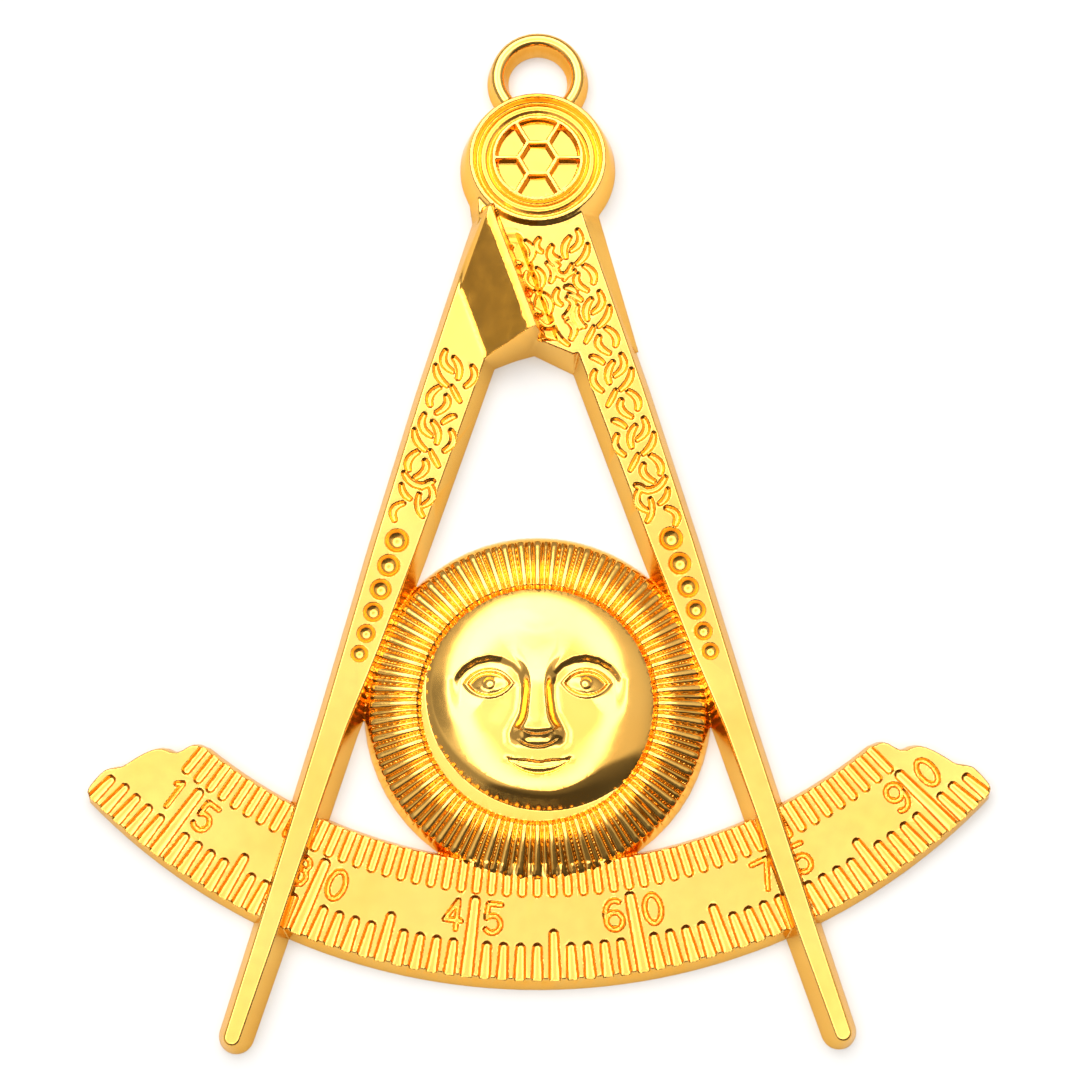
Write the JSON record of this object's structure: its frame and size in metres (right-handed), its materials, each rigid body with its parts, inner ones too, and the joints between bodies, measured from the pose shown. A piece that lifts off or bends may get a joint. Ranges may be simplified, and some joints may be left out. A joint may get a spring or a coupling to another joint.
{
  "type": "masonic jewel",
  "caption": "Flat cast collar jewel: open compasses on a graduated arc, with a sun face between the legs and a hanging loop above the hinge boss.",
  "frame": {"origin": "middle of the flat back, halfway between the loop's top and the leg tips", "axes": "+Z out of the face, +Y from the sun towards the hanging loop, +X to the viewer's right"},
  "size_m": [0.0763, 0.09, 0.0056],
  "materials": {
    "gold_plate": "polished gold plate on a cast zinc alloy"
  },
  "bodies": {
    "root": {"jewel_casting": "gold_plate"}
  },
  "joints": []
}
